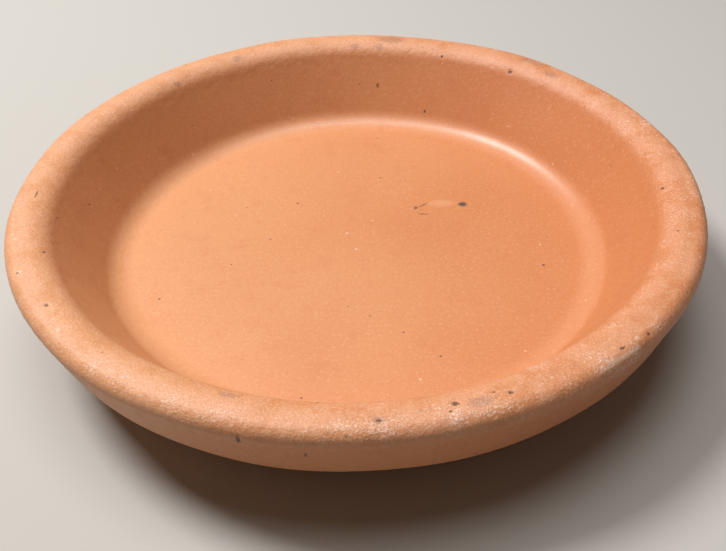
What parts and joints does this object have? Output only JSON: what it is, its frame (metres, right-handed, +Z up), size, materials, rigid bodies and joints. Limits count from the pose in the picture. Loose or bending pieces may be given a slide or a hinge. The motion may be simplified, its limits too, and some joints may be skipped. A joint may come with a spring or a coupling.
{
  "type": "plant pot saucer",
  "caption": "Round shallow terracotta saucer with a thick rounded rim, sloping wall and flat floor, which stands under a plant pot and catches its water.",
  "frame": {"origin": "centre of the foot, on the surface that the saucer stands on", "axes": "+Z up along the turning axis, out of the open side"},
  "size_m": [0.15, 0.15, 0.0265],
  "materials": {
    "fired_terracotta": "matte"
  },
  "bodies": {
    "root": {"saucer": "fired_terracotta"}
  },
  "joints": []
}
